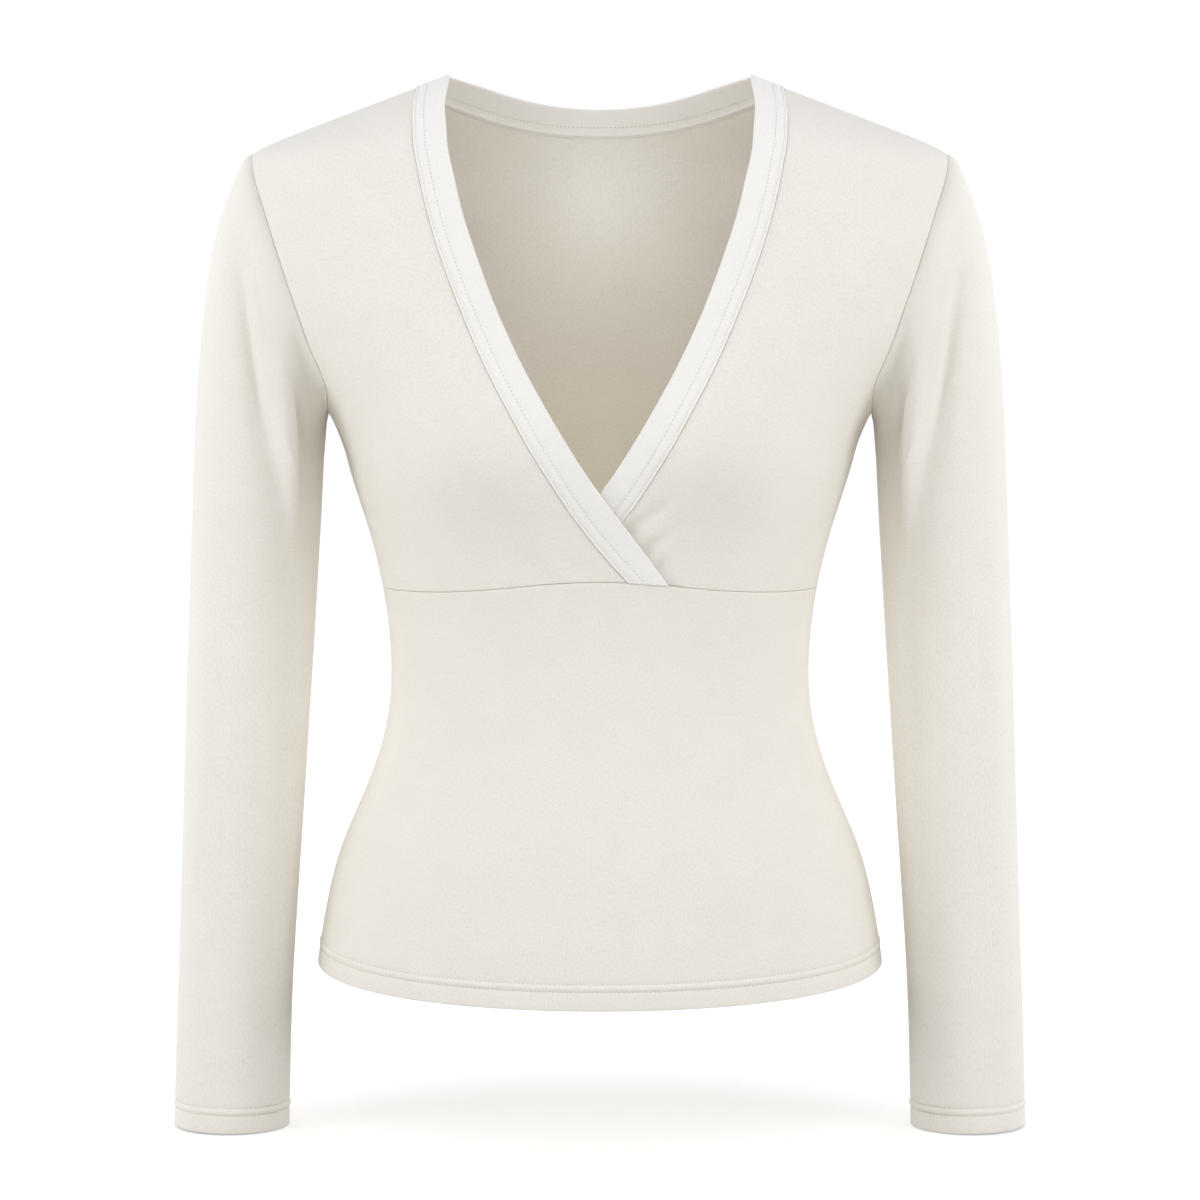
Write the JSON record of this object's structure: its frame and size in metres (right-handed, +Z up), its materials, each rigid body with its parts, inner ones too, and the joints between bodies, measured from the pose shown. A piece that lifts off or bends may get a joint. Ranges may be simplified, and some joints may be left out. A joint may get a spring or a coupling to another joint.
{
  "type": "wrap top",
  "caption": "Long-sleeved wrap top in fine jersey, hollow in its worn shape: crossed V neckline with a folded band, seam under the bust, set-in sleeves, open hem and cuffs.",
  "frame": {"origin": "half way between the two shoulder seams, at the height where they reach the neckband: where the wearer's shoulders hold the top up", "axes": "+Z up, the wearer faces -Y, the wearer's left side is at +X"},
  "size_m": [0.5018, 0.235, 0.6163],
  "materials": {
    "jersey": "matte off-white fine jersey",
    "band_jersey": "matte off-white jersey, folded double"
  },
  "bodies": {
    "root": {"front_right": "jersey", "front_left": "jersey", "front_lower": "jersey", "back": "jersey", "neckband": "band_jersey", "sleeve_right": "jersey", "sleeve_left": "jersey"}
  },
  "joints": []
}
